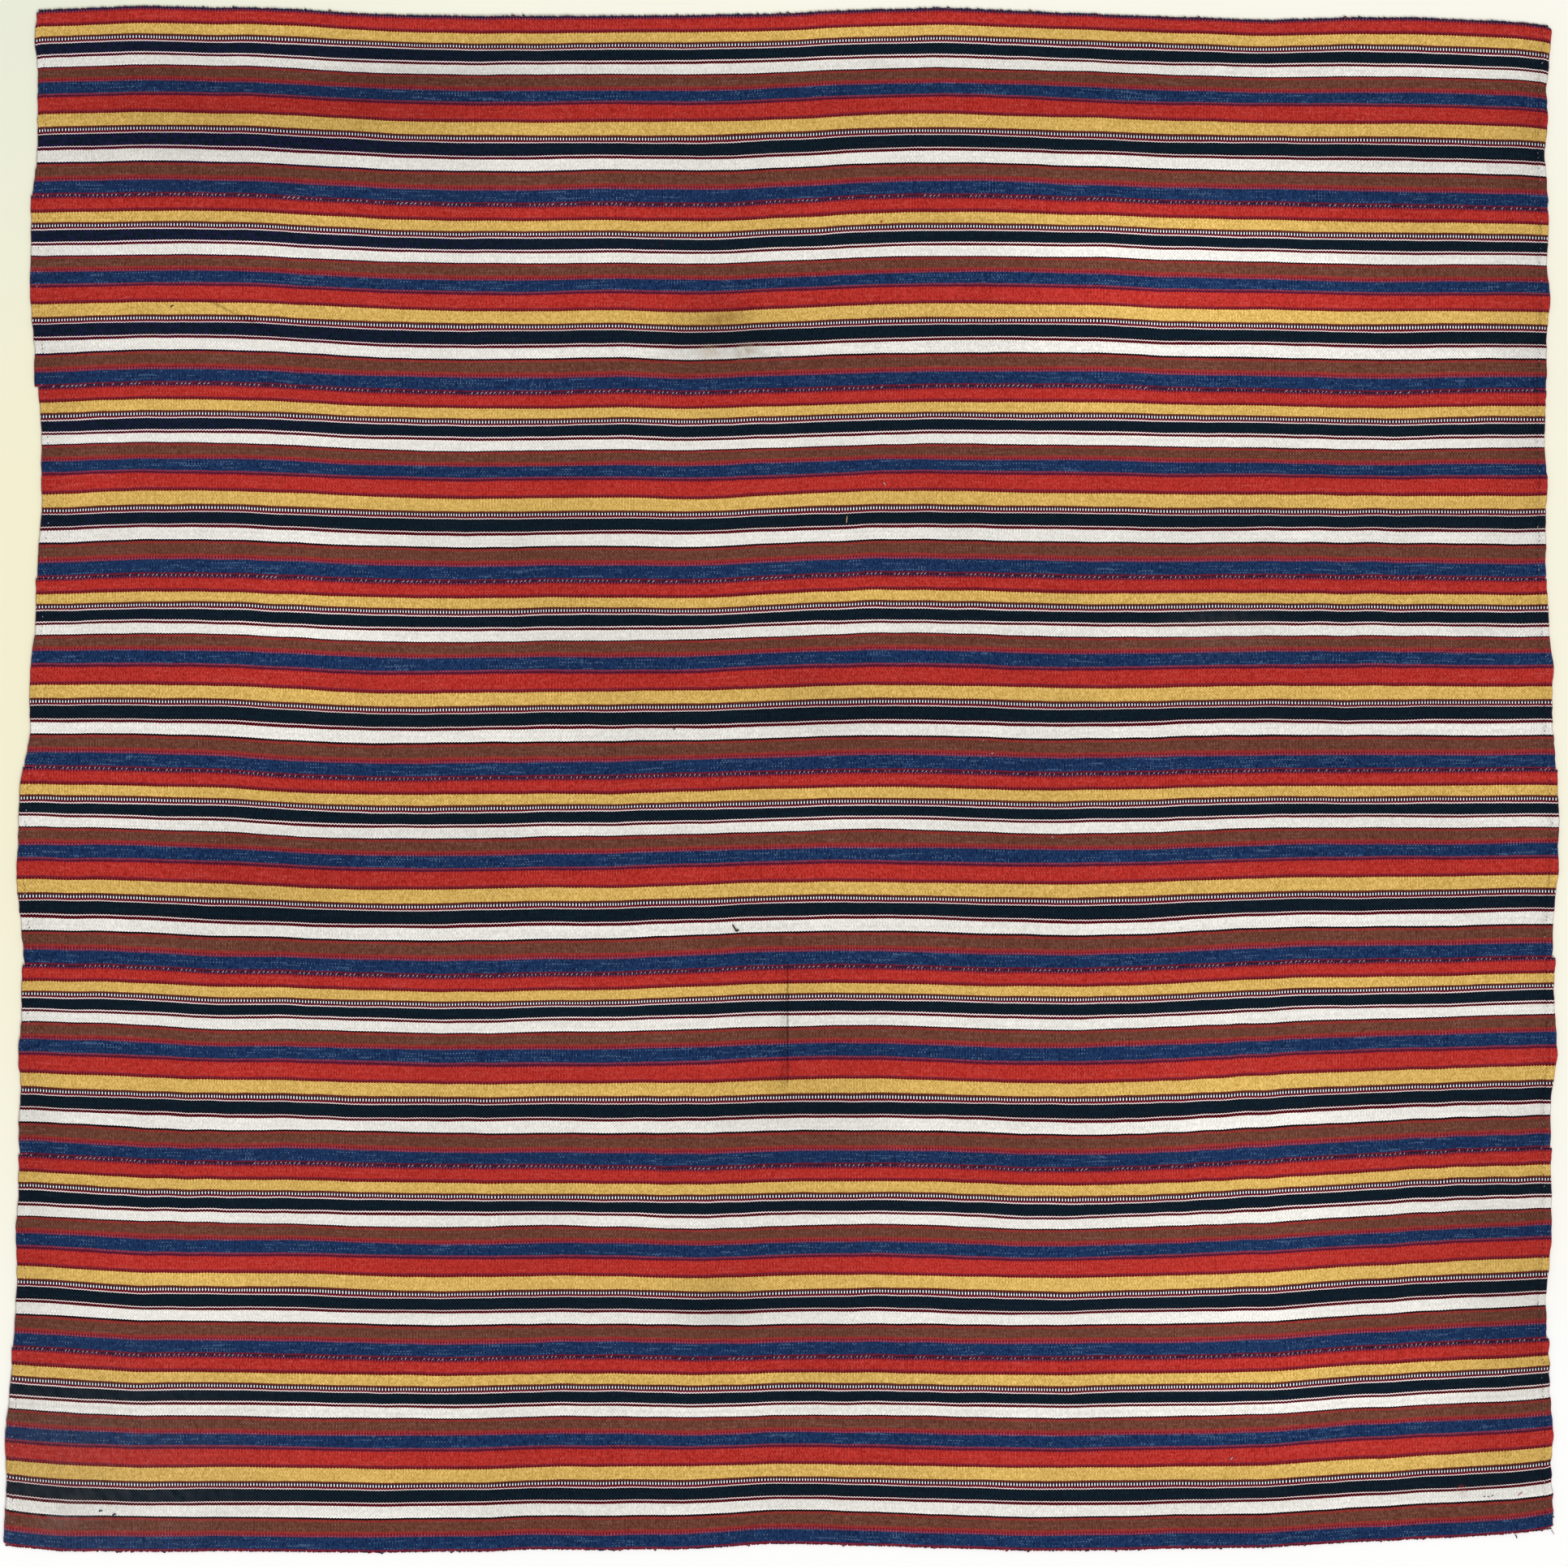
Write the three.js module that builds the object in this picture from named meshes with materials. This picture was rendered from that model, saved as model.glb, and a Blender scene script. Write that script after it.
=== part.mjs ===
// Striped flatwoven rug, laid flat: eight narrow woven bands sewn side by side.
// Millimetres, +Z up. The bands run along X and the first one is at +Y.
// The origin is on the floor, under the middle of the rug.
import * as THREE from 'three';

// Driving dimensions
const CLOTH_THICKNESS = 2.0;
const HEM_THICKNESS = 3.6;
const HEM_WIDTH = 9;
const HEM_STEP_WIDTH = 4;
const SEAM_GAP = 0.3;
const EDGE_ROLL_WIDTH = 5;
const EDGE_ROLL_DROP = 0.7;

// Steps of the mesh: even ones along a band, and finer ones across the fold in its middle
const FIRST_STEP_X = -880;
const LAST_STEP_X = 880;
const STEP_LENGTH = 55;
const FOLD_STEPS_X = [-14, 7, 14, 21, 28, 41];
const INNER_ROWS = 3;

// Long edges of the bands, from the rug's top edge through the seams to its bottom edge.
// Each row holds the height in Y at the stations named in the first line.
const EDGE_STATIONS_X = [-940, -705, -470, -235, 0, 235, 470, 705, 940];
const LONG_EDGES = [
  { name: 'top_edge', y: [950, 953, 942, 939, 943, 948, 939, 937, 929] },
  { name: 'seam_1', y: [719, 721, 710, 709, 712, 718, 712, 707, 703] },
  { name: 'seam_2', y: [485, 488, 479, 478, 480, 484, 482, 479, 479] },
  { name: 'seam_3', y: [250, 252, 243, 245, 248, 251, 249, 249, 247] },
  { name: 'seam_4', y: [13, 10, 0, 4, 8, 7, 8, 12, 13] },
  { name: 'seam_5', y: [-228, -235, -241, -238, -232, -234, -233, -223, -220] },
  { name: 'seam_6', y: [-465, -473, -476, -477, -475, -477, -477, -463, -457] },
  { name: 'seam_7', y: [-704, -710, -714, -712, -711, -713, -711, -702, -689] },
  { name: 'bottom_edge', y: [-945, -951, -951, -951, -941, -949, -951, -940, -926] },
];

// Ends of the bands: where each one stops in X at its upper edge, its middle and its lower edge
const BAND_ENDS = [
  { band: 1, left: [-918, -917, -922], right: [949, 944, 945] },
  { band: 2, left: [-924, -926, -920], right: [946, 947, 943] },
  { band: 3, left: [-915, -911, -917], right: [942, 943, 943] },
  { band: 4, left: [-919, -926, -931], right: [944, 951, 955] },
  { band: 5, left: [-934, -942, -934], right: [956, 959, 952] },
  { band: 6, left: [-933, -939, -938], right: [953, 956, 950] },
  { band: 7, left: [-940, -943, -946], right: [949, 949, 944] },
  { band: 8, left: [-947, -956, -959], right: [946, 950, 952] },
];

// Low waves and folds that lift the cloth off the floor: an oval of half_length by half_width,
// turned from X by turn degrees, that rises to lift at its middle and to nothing at its rim
const WAVES = [
  { name: 'fold_high', x: 27, y: 655, half_length: 150, half_width: 15, turn: 91, lift: 0.9 },
  { name: 'fold_middle', x: 22, y: 185, half_length: 190, half_width: 15, turn: 91, lift: 0.8 },
  { name: 'fold_low', x: 7, y: -295, half_length: 130, half_width: 15, turn: 91, lift: 1.1 },
  { name: 'top_left_wave', x: -380, y: 885, half_length: 300, half_width: 90, turn: 7, lift: 2.0 },
  { name: 'left_end_wave', x: -840, y: 480, half_length: 190, half_width: 75, turn: 86, lift: 1.8 },
  { name: 'left_inner_wave', x: -440, y: 230, half_length: 330, half_width: 120, turn: 104, lift: 1.5 },
  { name: 'top_right_wave', x: 290, y: 700, half_length: 260, half_width: 110, turn: 58, lift: 1.6 },
  { name: 'right_end_wave', x: 865, y: 120, half_length: 230, half_width: 75, turn: 89, lift: 1.6 },
  { name: 'low_right_wave', x: 800, y: -660, half_length: 270, half_width: 100, turn: 78, lift: 2.0 },
  { name: 'low_middle_wave', x: 60, y: -590, half_length: 260, half_width: 90, turn: 4, lift: 1.4 },
  { name: 'low_left_wave', x: -830, y: -520, half_length: 260, half_width: 80, turn: 92, lift: 1.8 },
];

// Smooth curve through evenly spaced heights (Catmull-Rom), with straight ends
function heightOnEdge(edge, x) {
  const spacing = EDGE_STATIONS_X[1] - EDGE_STATIONS_X[0];
  const last = EDGE_STATIONS_X.length - 2;
  const along = (x - EDGE_STATIONS_X[0]) / spacing;
  const start = Math.min(Math.max(Math.floor(along), 0), last);
  const t = along - start;
  const at = (i) => edge.y[Math.min(Math.max(i, 0), last + 1)];
  const slopeIn = (at(start + 1) - at(start - 1)) / 2;
  const slopeOut = (at(start + 2) - at(start)) / 2;
  const change = at(start + 1) - at(start);
  const square = 3 * change - 2 * slopeIn - slopeOut;
  const cube = slopeIn + slopeOut - 2 * change;
  return at(start) + t * (slopeIn + t * (square + t * cube));
}

// Parabola through an end's upper, middle and lower point, for down = 0 at the top to 1
function endOfBand([upper, middle, lower], down) {
  const bulge = middle - (upper + lower) / 2;
  return THREE.MathUtils.lerp(upper, lower, down) + 4 * bulge * down * (1 - down);
}

// Height of the underside over the floor
function liftAt(x, y) {
  let lift = 0;
  for (const wave of WAVES) {
    const turn = THREE.MathUtils.degToRad(wave.turn);
    const along = (x - wave.x) * Math.cos(turn) + (y - wave.y) * Math.sin(turn);
    const across = (y - wave.y) * Math.cos(turn) - (x - wave.x) * Math.sin(turn);
    const radius = Math.hypot(along / wave.half_length, across / wave.half_width);
    if (radius < 1) {
      lift += wave.lift * (1 + Math.cos(Math.PI * radius)) / 2;
    }
  }
  return lift;
}

// Columns of the mesh along a band. The hems follow the band's own ends.
function bandColumns(ends) {
  const hemSteps = [0, HEM_WIDTH, HEM_WIDTH + HEM_STEP_WIDTH];
  const fromLeft = hemSteps.map((inset) => ({
    inset,
    x: (down) => endOfBand(ends.left, down) + inset,
  }));
  const fromRight = hemSteps.map((inset) => ({
    inset,
    x: (down) => endOfBand(ends.right, down) - inset,
  }));
  const places = [...FOLD_STEPS_X];
  for (let x = FIRST_STEP_X; x <= LAST_STEP_X; x += STEP_LENGTH) {
    places.push(x);
  }
  places.sort((a, b) => a - b);
  const between = places.map((place) => ({ inset: Infinity, x: () => place }));
  return [...fromLeft, ...between, ...fromRight.reverse()];
}

// Rows of the mesh across a band: how far down from its upper to its lower edge, and how much thinner
function bandRows(width) {
  const roll = EDGE_ROLL_WIDTH / width;
  const rows = [{ down: 0, drop: EDGE_ROLL_DROP }, { down: roll, drop: 0 }];
  for (let i = 1; i <= INNER_ROWS; i += 1) {
    rows.push({ down: i / (INNER_ROWS + 1), drop: 0 });
  }
  rows.push({ down: 1 - roll, drop: 0 }, { down: 1, drop: EDGE_ROLL_DROP });
  return rows;
}

// One closed solid from a grid of points on the cloth's upper side and the same grid on its underside
function gridSolid(columns, rows, upperPoint, lowerPoint) {
  const position = [];
  const index = [];
  const sheetSize = columns * rows;
  for (const point of [upperPoint, lowerPoint]) {
    for (let column = 0; column < columns; column += 1) {
      for (let row = 0; row < rows; row += 1) {
        position.push(...point(column, row));
      }
    }
  }
  const upper = (column, row) => column * rows + row;
  const lower = (column, row) => sheetSize + upper(column, row);
  const face = (a, b, c, d) => index.push(a, b, c, a, c, d);
  for (let column = 0; column < columns - 1; column += 1) {
    const next = column + 1;
    for (let row = 0; row < rows - 1; row += 1) {
      face(upper(column, row), upper(column, row + 1), upper(next, row + 1), upper(next, row));
      face(lower(column, row), lower(next, row), lower(next, row + 1), lower(column, row + 1));
    }
    face(upper(column, 0), upper(next, 0), lower(next, 0), lower(column, 0));
    face(upper(next, rows - 1), upper(column, rows - 1), lower(column, rows - 1), lower(next, rows - 1));
  }
  for (let row = 0; row < rows - 1; row += 1) {
    const end = columns - 1;
    face(upper(0, row + 1), upper(0, row), lower(0, row), lower(0, row + 1));
    face(upper(end, row), upper(end, row + 1), lower(end, row + 1), lower(end, row));
  }
  const geometry = new THREE.BufferGeometry();
  geometry.setAttribute('position', new THREE.Float32BufferAttribute(position, 3));
  geometry.setIndex(index);
  geometry.computeVertexNormals();
  return geometry;
}

// One woven band with its hemmed ends, between two neighbouring long edges
function buildBand(number) {
  const upperEdge = LONG_EDGES[number - 1];
  const lowerEdge = LONG_EDGES[number];
  const upperGap = number === 1 ? 0 : SEAM_GAP / 2;
  const lowerGap = number === BAND_ENDS.length ? 0 : SEAM_GAP / 2;
  const columns = bandColumns(BAND_ENDS[number - 1]);
  const rows = bandRows(upperEdge.y[0] - lowerEdge.y[0]);
  const plan = (column, row) => {
    const { down } = rows[row];
    const x = columns[column].x(down);
    const top = heightOnEdge(upperEdge, x) - upperGap;
    const bottom = heightOnEdge(lowerEdge, x) + lowerGap;
    return [x, THREE.MathUtils.lerp(top, bottom, down)];
  };
  const underside = (column, row) => {
    const [x, y] = plan(column, row);
    return [x, y, liftAt(x, y)];
  };
  const upperSide = (column, row) => {
    const [x, y, z] = underside(column, row);
    const layers = columns[column].inset <= HEM_WIDTH ? HEM_THICKNESS : CLOTH_THICKNESS;
    return [x, y, z + layers - rows[row].drop];
  };
  const wool = new THREE.MeshStandardMaterial({ color: 0x7a3b35, roughness: 0.95, metalness: 0 });
  const band = new THREE.Mesh(gridSolid(columns.length, rows.length, upperSide, underside), wool);
  band.name = `panel_${number}`;
  return band;
}

const rug = new THREE.Group();
for (const { band } of BAND_ENDS) {
  rug.add(buildBand(band));
}

// The origin goes on the floor, under the middle of the outline
const middle = new THREE.Box3().setFromObject(rug).getCenter(new THREE.Vector3());
rug.position.set(-middle.x, -middle.y, 0);

export default rug;
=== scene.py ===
import math

import bpy
import numpy as np
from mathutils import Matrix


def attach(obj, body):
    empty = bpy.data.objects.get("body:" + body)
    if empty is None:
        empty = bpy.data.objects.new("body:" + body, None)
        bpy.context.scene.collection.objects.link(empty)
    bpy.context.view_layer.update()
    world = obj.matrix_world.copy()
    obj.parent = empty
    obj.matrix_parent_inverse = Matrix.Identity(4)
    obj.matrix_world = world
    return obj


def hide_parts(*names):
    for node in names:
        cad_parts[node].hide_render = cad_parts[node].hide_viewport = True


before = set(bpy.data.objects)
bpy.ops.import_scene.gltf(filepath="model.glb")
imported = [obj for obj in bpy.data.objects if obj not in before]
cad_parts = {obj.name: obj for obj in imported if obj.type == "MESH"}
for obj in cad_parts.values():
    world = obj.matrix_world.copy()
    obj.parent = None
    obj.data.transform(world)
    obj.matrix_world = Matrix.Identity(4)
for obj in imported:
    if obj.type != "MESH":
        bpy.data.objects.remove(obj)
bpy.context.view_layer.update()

# Units: the tables are in millimetres, as the rug was measured, and every mesh is written in metres
MM = 0.001

# Driving dimensions of the cloth, the same as the solids'
CLOTH_THICKNESS = 2.0
HEM_THICKNESS = 3.6
HEM_WIDTH = 9.0
HEM_STEP_WIDTH = 4.0
SEAM_GAP = 0.3
EDGE_ROLL_WIDTH = 5.0
EDGE_ROLL_DROP = 0.7

# Long edges of the bands, from the rug's top edge through the seams to its bottom edge. Each row holds
# the heights in Y at the stations, and the small sways that the solids leave out, at finer stations and
# in half millimetres.
EDGE_STATIONS_X = [-940, -705, -470, -235, 0, 235, 470, 705, 940]
SWAY_STATIONS_X = list(range(-1000, 1001, 100))
LONG_EDGES = [
    ("top_edge", [950, 953, 942, 939, 943, 948, 939, 937, 929],
     [-11, -7, -3, -6, -2, -3, -2, -1, 0, -1, -1, 2, 1, -2, -1, -2, -7, 0, 5, 3, -10]),
    ("seam_1", [719, 721, 710, 709, 712, 718, 712, 707, 703],
     [-3, -1, -2, -1, 0, 0, -2, -2, -1, -6, -1, 4, 2, -1, 0, -1, 0, -1, 0, -1, -9]),
    ("seam_2", [485, 488, 479, 478, 480, 484, 482, 479, 479],
     [-8, -4, -1, -1, -1, -1, -3, -3, 0, -6, -1, 0, 2, 1, 2, -3, -2, -5, -2, 1, -3]),
    ("seam_3", [250, 252, 243, 245, 248, 251, 249, 249, 247],
     [-1, -5, 0, -1, 1, 2, 1, 1, -2, -5, 2, 7, 4, 1, -1, 1, 2, 1, 0, -1, 3]),
    ("seam_4", [13, 10, 0, 4, 8, 7, 8, 12, 13],
     [5, 4, 2, 1, -2, 1, 3, 0, -2, -1, 1, 6, 5, 0, -1, 2, 2, -2, -2, -1, -3]),
    ("seam_5", [-228, -235, -241, -238, -232, -234, -233, -223, -220],
     [0, 0, 2, -2, 1, 0, -3, -2, -4, -1, 2, 5, 2, -1, 0, 4, 3, 0, -3, 0, 2]),
    ("seam_6", [-465, -473, -476, -477, -475, -477, -477, -463, -457],
     [10, 5, 2, 2, 5, 2, 1, 2, -1, -6, -1, 2, 2, -5, -3, 1, -1, -2, 2, 5, 8]),
    ("seam_7", [-704, -710, -714, -712, -711, -713, -711, -702, -689],
     [14, 6, -1, 4, 5, 3, 0, 2, 2, -4, -1, 3, 2, 0, 1, -1, -3, 3, 4, -1, 6]),
    ("bottom_edge", [-945, -951, -951, -951, -941, -949, -951, -940, -926],
     [10, -5, -3, 3, 2, 0, 2, 8, 4, -3, 1, 1, 5, 3, 6, 8, 2, 3, 0, -1, 17]),
]

# Ends of the bands: where each stops in X at its upper edge, its middle and its lower edge, a row a band
BAND_ENDS = {
    "left": [
        (-918, -917, -922), (-924, -926, -920), (-915, -911, -917), (-919, -926, -931),
        (-934, -942, -934), (-933, -939, -938), (-940, -943, -946), (-947, -956, -959),
    ],
    "right": [
        (949, 944, 945), (946, 947, 943), (942, 943, 943), (944, 951, 955),
        (956, 959, 952), (953, 956, 950), (949, 949, 944), (946, 950, 952),
    ],
}

# Small sways of these ends that the solids leave out, in half millimetres, at even steps from a band's
# upper edge to its lower edge
END_SWAYS = {
    "left": [
        (3, -5, 3, 2, 6, 5, 0), (-1, 4, 4, 2, 5, 7, 2), (1, 2, 1, -1, 1, -1, 0),
        (3, 7, 8, 1, 6, 8, 0), (0, 0, 4, 0, 4, 6, 4), (-1, 0, 2, 0, 5, 2, 0),
        (3, 4, 2, 0, 7, 3, 2), (2, 4, 2, 0, 7, 6, 2),
    ],
    "right": [
        (0, -2, -5, 2, -6, -3, -1), (-1, -5, -6, 0, -6, -5, -1), (0, -3, -3, 2, -3, -3, -2),
        (-3, -3, -3, 0, -6, -5, -3), (1, -1, -2, -2, -8, -8, -5), (-2, -7, -4, 0, -9, -11, -7),
        (0, -3, -1, -1, -8, -8, -3), (-1, -4, -4, 2, -5, -3, -3),
    ],
}
BANDS = range(1, 9)

# Low waves and folds that lift the cloth off the floor: name, x, y, half length, half width, turn, lift
WAVES = [
    ("fold_high", 27, 655, 150, 15, 91, 0.9),
    ("fold_middle", 22, 185, 190, 15, 91, 0.8),
    ("fold_low", 7, -295, 130, 15, 91, 1.1),
    ("top_left_wave", -380, 885, 300, 90, 7, 2.0),
    ("left_end_wave", -840, 480, 190, 75, 86, 1.8),
    ("left_inner_wave", -440, 230, 330, 120, 104, 1.5),
    ("top_right_wave", 290, 700, 260, 110, 58, 1.6),
    ("right_end_wave", 865, 120, 230, 75, 89, 1.6),
    ("low_right_wave", 800, -660, 270, 100, 78, 2.0),
    ("low_middle_wave", 60, -590, 260, 90, 4, 1.4),
    ("low_left_wave", -830, -520, 260, 80, 92, 1.8),
]

# Painted shade and light: soft patches where the cloth is painted darker or lighter as the light falls on
# it
# unevenly: name, x, y, half length, half width, turn, tone
TONE_PATCHES = [
    ("top_left_shade", -410, 860, 260, 90, 8, -0.18),
    ("left_shade", -640, 730, 120, 70, 40, -0.08),
    ("left_end_shade", -900, 470, 260, 60, 90, -0.11),
    ("inner_shade", -230, 200, 330, 150, 100, -0.09),
    ("middle_shade", 30, -400, 150, 60, 0, -0.09),
    ("right_end_shade", 915, 500, 420, 70, 90, -0.09),
    ("low_right_shade", 890, -640, 330, 110, 90, -0.12),
    ("low_left_shade", -920, -480, 420, 50, 90, -0.08),
    ("top_middle_light", 100, 925, 330, 60, 0, 0.10),
    ("right_light", 460, 680, 340, 190, 10, 0.12),
    ("right_low_light", 400, 480, 200, 90, 0, 0.08),
    ("left_light", -620, 200, 250, 170, 90, 0.08),
    ("low_left_light", -700, -600, 330, 140, 0, 0.07),
    ("low_right_light", 560, -680, 330, 150, 60, 0.12),
    ("top_left_deep_shade", -740, 820, 380, 170, 0, -0.19),
    ("upper_middle_shade", -75, 550, 120, 75, 0, -0.26),
    ("low_middle_shade", -75, -645, 95, 65, 0, -0.22),
    ("centre_shade", 60, 85, 120, 95, 0, -0.13),
    ("middle_left_shade", -560, -110, 420, 120, 0, -0.10),
    ("low_left_corner_shade", -910, -840, 170, 130, 0, -0.17),
    ("right_wide_light", 620, -420, 430, 480, 0, 0.06),
    ("low_right_corner_light", 730, -740, 220, 190, 0, 0.09),
    ("top_band_shade", 0, 840, 1050, 130, 0, -0.08),
    ("upper_right_light", 560, 530, 380, 200, 0, 0.10),
    ("second_band_light", 470, 600, 420, 150, 0, 0.14),
    ("top_right_end_shade", 930, 800, 130, 160, 0, -0.14),
    ("low_wide_light", 380, -760, 520, 240, 0, 0.07),
    ("low_right_wide_light", 480, -350, 520, 420, 0, 0.05),
    ("seventh_band_light", 330, -600, 420, 140, 0, 0.06),
    ("left_end_light", -930, 580, 90, 100, 0, 0.04),
]


# Shape of the rug


def height_on_edge(heights, x, stations=EDGE_STATIONS_X):
    """Smooth curve through evenly spaced heights (Catmull-Rom), with straight ends."""
    y = np.asarray(heights, float)
    along = (x - stations[0]) / (stations[1] - stations[0])
    start = np.clip(np.floor(along), 0, len(y) - 2).astype(int)
    t = along - start
    before, after = np.clip(start - 1, 0, None), np.clip(start + 2, None, len(y) - 1)
    slope_in = (y[start + 1] - y[before]) / 2
    slope_out = (y[after] - y[start]) / 2
    change = y[start + 1] - y[start]
    square = 3 * change - 2 * slope_in - slope_out
    cube = slope_in + slope_out - 2 * change
    return y[start] + t * (slope_in + t * (square + t * cube))


def end_of_band(points, down):
    """Parabola through an end's upper, middle and lower point, for down = 0 at the top to 1."""
    upper, middle, lower = points
    bulge = middle - (upper + lower) / 2
    return upper + (lower - upper) * down + 4 * bulge * down * (1 - down)


def oval_bumps(rows, x, y):
    """Sum of soft oval bumps from a table of name, x, y, half length, half width, turn, height."""
    total = np.zeros_like(x)
    for _, at_x, at_y, half_length, half_width, turn, height in rows:
        c, s = math.cos(math.radians(turn)), math.sin(math.radians(turn))
        along = ((x - at_x) * c + (y - at_y) * s) / half_length
        across = ((y - at_y) * c - (x - at_x) * s) / half_width
        radius = np.minimum(np.hypot(along, across), 1)
        total += height * (1 + np.cos(np.pi * radius)) / 2
    return total


def soft_noise(x, y, size, seed, waves=9):
    """Even, seeded noise of about unit strength from a few crossing sine waves of that size."""
    random = np.random.default_rng(seed)
    total = np.zeros(np.broadcast(x, y).shape)
    for _ in range(waves):
        angle, phase = random.uniform(0, 2 * np.pi, 2)
        pitch = 2 * np.pi / (size * random.uniform(0.6, 1.6))
        total += np.sin(pitch * (x * math.cos(angle) + y * math.sin(angle)) + phase)
    return total * math.sqrt(2 / waves)


def rounded(distance, radius):
    """0 at an edge, rising to 1 at radius from it, as a quarter circle."""
    inward = 1 - np.clip(distance / radius, 0, 1)
    return np.sqrt(np.maximum(1 - inward**2, 0))


def smooth(value, low, high):
    t = np.clip((value - low) / (high - low), 0, 1)
    return t * t * (3 - 2 * t)


# Fine relief of the cloth that the solids leave out
HALF_MM = 0.5
EDGE_WOBBLE = 0.25
EDGE_WOBBLE_SIZE = 70
END_WOBBLE = 0.4
END_WOBBLE_SIZES = (60, 18)
BAND_WIDTH = 235.0
CORNER_DROP = 3.0
CORNER_REACH = 6.0
COCKLE_HEIGHT = 0.13
COCKLE_SIZE = 34.0
PUCKER_HEIGHT = 0.28
PUCKER_SIZE = 17.0
PUCKER_REACH = 16.0
RELIEF_FADE = 20
HEM_PUCKER = 0.35
HEM_PUCKER_SIZE = 26
ROUND_SEAM = 0.9
ROUND_SELVEDGE = 1.1
EDGE_LEAST = 0.25


def edge_line(number, x):
    """Height in Y of a long edge (0 the rug's top edge, 8 its bottom edge), with its sway and wobble."""
    _, heights, sways = LONG_EDGES[number]
    sways = np.multiply(sways, HALF_MM)
    line = height_on_edge(heights, x) + height_on_edge(sways, x, SWAY_STATIONS_X)
    return line + EDGE_WOBBLE * soft_noise(x, 0.0, EDGE_WOBBLE_SIZE, 100 + number)


def end_line(number, side, down):
    """Where one end of a band stops in X, with its sway and wobble, for down = 0 at the top to 1."""
    sways = np.multiply(END_SWAYS[side][number - 1], HALF_MM)
    line = end_of_band(BAND_ENDS[side][number - 1], down)
    line = line + height_on_edge(sways, down, np.linspace(0, 1, len(sways)))
    place = down * BAND_WIDTH
    seed = (200 if side == "left" else 300) + number
    wide, narrow = END_WOBBLE_SIZES
    wobble = soft_noise(place, 0.0, wide, seed) + soft_noise(place, 0.0, narrow, seed + 50)
    return line + END_WOBBLE * wobble


def cloth_lift(x, y):
    """Height of the underside over the floor."""
    return oval_bumps(WAVES, x, y)


def cloth_relief(x, y, seam_distance):
    """Small unevenness of the upper side: cockles everywhere and puckers along the seams."""
    cockle = COCKLE_HEIGHT * soft_noise(x, y * 0.45, COCKLE_SIZE, 7)
    pucker = PUCKER_HEIGHT * soft_noise(x, y * 0.1, PUCKER_SIZE, 8)
    return cockle + pucker * np.exp(-((seam_distance / PUCKER_REACH) ** 2))


def seam_height(x, y):
    """Height of the cloth's upper side right beside a seam."""
    return cloth_lift(x, y) + CLOTH_THICKNESS - EDGE_ROLL_DROP


# Meshes


def rug_middle():
    """Middle of the outline, which the solids have moved to the origin."""
    x = np.linspace(-940, 940, 400)
    top, bottom = (height_on_edge(LONG_EDGES[i][1], x) for i in (0, -1))
    left, right = np.min(BAND_ENDS["left"]), np.max(BAND_ENDS["right"])
    return np.array([(left + right) / 2, (top.max() + bottom.min()) / 2, 0.0])


MIDDLE = rug_middle()


def new_object(name, data):
    made = bpy.data.objects.new(name, data)
    bpy.context.scene.collection.objects.link(made)
    return made


def new_piece(name, points, faces, materials):
    """Mesh object from points in millimetres. It rides on the rug's one body."""
    mesh = bpy.data.meshes.new(name)
    mesh.from_pydata(((np.asarray(points) - MIDDLE) * MM).tolist(), [], faces)
    mesh.update()
    mesh.shade_smooth()
    for material in materials:
        mesh.materials.append(material)
    piece = new_object(name, mesh)
    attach(piece, "root")
    return piece


def grid_faces(columns, rows):
    """Quads of a closed sheet: an upper grid, a lower grid, and the strip that joins their rims."""
    at = np.arange(columns * rows).reshape(columns, rows)
    a, b, c, d = at[:-1, :-1], at[:-1, 1:], at[1:, 1:], at[1:, :-1]
    upper = np.stack([a, b, c, d], -1).reshape(-1, 4)
    lower = upper[:, ::-1] + columns * rows
    rim = np.concatenate([at[0, ::-1], at[1:, 0], at[-1, 1:], at[-2::-1, -1]])
    low_rim = rim + columns * rows
    sides = np.stack([rim[:-1], rim[1:], low_rim[1:], low_rim[:-1]], -1)
    return np.concatenate([upper, lower, sides])


# Steps of a band's grid
BAND_STEPS = 330
HEM_INSETS = np.array([0, 0.3, 0.9, 1.8, 3.6, 6.2, 8.2, 9.2, 10.4, 11.8, 13.0])
ROW_INSETS = np.array([0, 0.3, 0.9, 2.0, 3.6, 5.6, 8.5, 12.5])
BAND_ROWS = 34


def band_rows(width):
    """How far down each row lies, from 0 at the upper edge to 1, and its distance from an edge."""
    near = ROW_INSETS / width
    between = np.linspace(near[-1], 1 - near[-1], BAND_ROWS)[1:-1]
    down = np.concatenate([near, between, 1 - near[::-1]])
    return down, np.minimum(down, 1 - down) * width


def band_grid(number):
    """Points of one band's upper side and underside, and what its material needs to know at each."""
    down, edge_distance = band_rows(BAND_WIDTH)
    left, right = (end_line(number, side, down) for side in ("left", "right"))
    inner = np.linspace(0, 1, BAND_STEPS)[1:-1, None]
    hem = HEM_INSETS[:, None]
    reach = HEM_INSETS[-1]
    x = np.concatenate([left + hem, left + reach + inner * (right - left - 2 * reach), right - hem[::-1]])
    upper_gap = 0 if number == 1 else SEAM_GAP / 2
    lower_gap = 0 if number == BANDS[-1] else SEAM_GAP / 2
    top = edge_line(number - 1, x) - upper_gap
    bottom = edge_line(number, x) + lower_gap
    inset = np.minimum(x - left, right - x)
    corner = CORNER_DROP * np.exp(-inset / CORNER_REACH)
    top -= corner * (number == 1)
    bottom += corner * (number == BANDS[-1])
    y = top + (bottom - top) * down
    return x, y, inset, *(np.broadcast_to(row, x.shape) for row in (edge_distance, down))


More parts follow.
